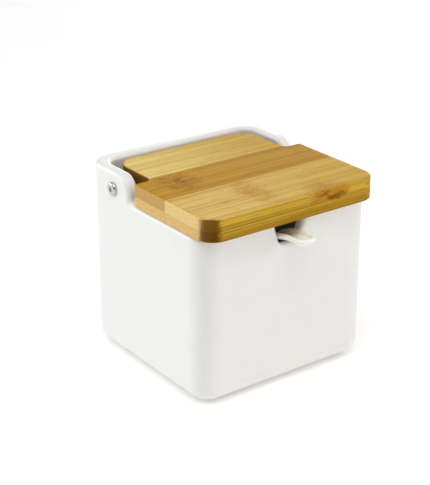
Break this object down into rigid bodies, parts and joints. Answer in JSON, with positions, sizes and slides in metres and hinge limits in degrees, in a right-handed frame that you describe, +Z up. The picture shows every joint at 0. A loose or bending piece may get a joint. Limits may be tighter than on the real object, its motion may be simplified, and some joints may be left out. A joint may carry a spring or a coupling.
{
  "type": "salt pot",
  "caption": "Rounded square ceramic salt pot with a hinged two-ply bamboo lid between raised rear ears, and a ceramic spoon whose handle leaves through a notch in the front rim.",
  "frame": {"origin": "centre of the pot's base, on the surface that it stands on", "axes": "+X to the right as seen from the front; -Y out of the front, where the notch is; +Z up"},
  "size_m": [0.1132, 0.1216, 0.107],
  "materials": {
    "glazed_pot": "white satin glaze",
    "glazed_spoon": "white gloss glaze",
    "bamboo_light": "oiled natural bamboo",
    "bamboo_dark": "oiled carbonised bamboo",
    "bamboo_lower": "oiled natural bamboo",
    "screw_steel": "polished stainless steel",
    "bush_nylon": "black nylon",
    "insert_brass": "plain brass"
  },
  "bodies": {
    "pot": {"pot": "glazed_pot", "left_hinge_bush": "bush_nylon", "right_hinge_bush": "bush_nylon"},
    "lid": {"lid_rear_stave": "bamboo_light", "lid_middle_stave": "bamboo_dark", "lid_front_stave": "bamboo_light", "lid_lower_rear_stave": "bamboo_lower", "lid_lower_middle_stave": "bamboo_lower", "lid_lower_front_stave": "bamboo_lower", "left_hinge_screw": "screw_steel", "right_hinge_screw": "screw_steel", "left_threaded_insert": "insert_brass", "right_threaded_insert": "insert_brass"},
    "spoon": {"spoon": "glazed_spoon"}
  },
  "joints": [
    {"name": "lid_hinge", "type": "hinge", "parent": "pot", "child": "lid", "pos_m": [0, 0.0268, 0.09715], "axis": [-1, 0, 0], "range_deg": [0, 125]},
    {"name": "spoon_lift", "type": "slide", "parent": "pot", "child": "spoon", "axis": [0, 0, 1], "range_m": [0, 0.0055]}
  ]
}
